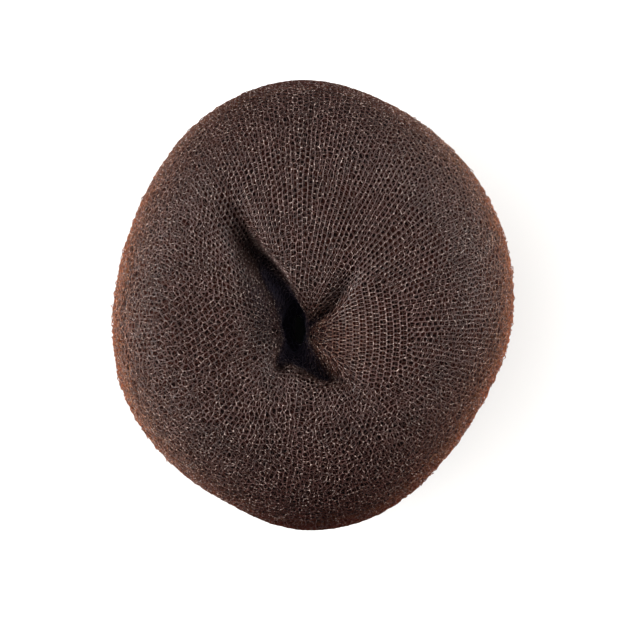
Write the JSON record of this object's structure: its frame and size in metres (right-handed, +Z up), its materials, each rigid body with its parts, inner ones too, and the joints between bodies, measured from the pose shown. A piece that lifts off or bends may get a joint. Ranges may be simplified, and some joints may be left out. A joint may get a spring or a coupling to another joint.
{
  "type": "hair donut bun maker",
  "caption": "Plump ring of rolled-up brown knitted nylon net; a ponytail goes up through its puckered hole and is spread over it to make a bun.",
  "frame": {"origin": "centre of the bottom of the donut's box, on the surface that it rests on", "axes": "+Z up along the ponytail hole, out of the puckered side; +Y along the donut's longer way; +X along its shorter way"},
  "size_m": [0.0888, 0.1, 0.044],
  "materials": {
    "knitted_net": "open knitted net of fine brown nylon monofilament, faintly glossy, orange-brown where light comes through",
    "packed_net": "many layers of the same brown net pressed together, dark and matte"
  },
  "bodies": {
    "root": {"outer_turn": "knitted_net", "inner_roll": "packed_net"}
  },
  "joints": []
}
